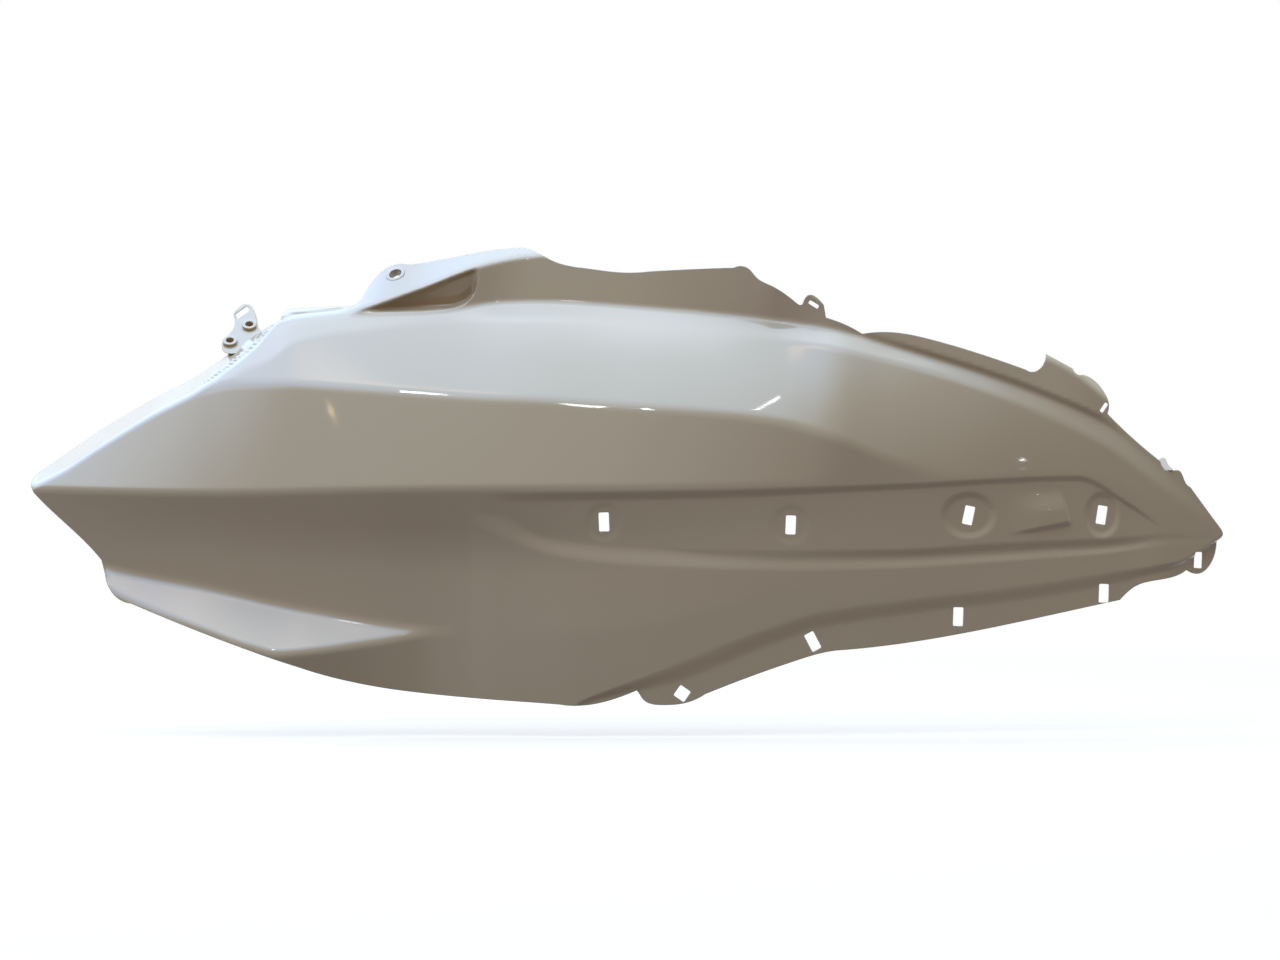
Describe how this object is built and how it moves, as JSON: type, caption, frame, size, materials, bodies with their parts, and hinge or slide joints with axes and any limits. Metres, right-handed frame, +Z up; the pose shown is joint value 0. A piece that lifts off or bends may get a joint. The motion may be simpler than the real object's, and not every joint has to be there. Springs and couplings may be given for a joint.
{
  "type": "scooter side panel",
  "caption": "Long curved side panel of a scooter's rear, one thin moulding with creased faces, a sunk channel, clip slots and screw lugs.",
  "frame": {"origin": "centre of the outer face of the screw hole in the top ear", "axes": "+X along the panel towards its narrow rear end, +Y into the machine, +Z up as fitted"},
  "size_m": [0.7774, 0.1027, 0.2968],
  "materials": {
    "painted_abs": "glossy light warm grey paint over moulded plastic"
  },
  "bodies": {
    "root": {"side_panel": "painted_abs"}
  },
  "joints": []
}
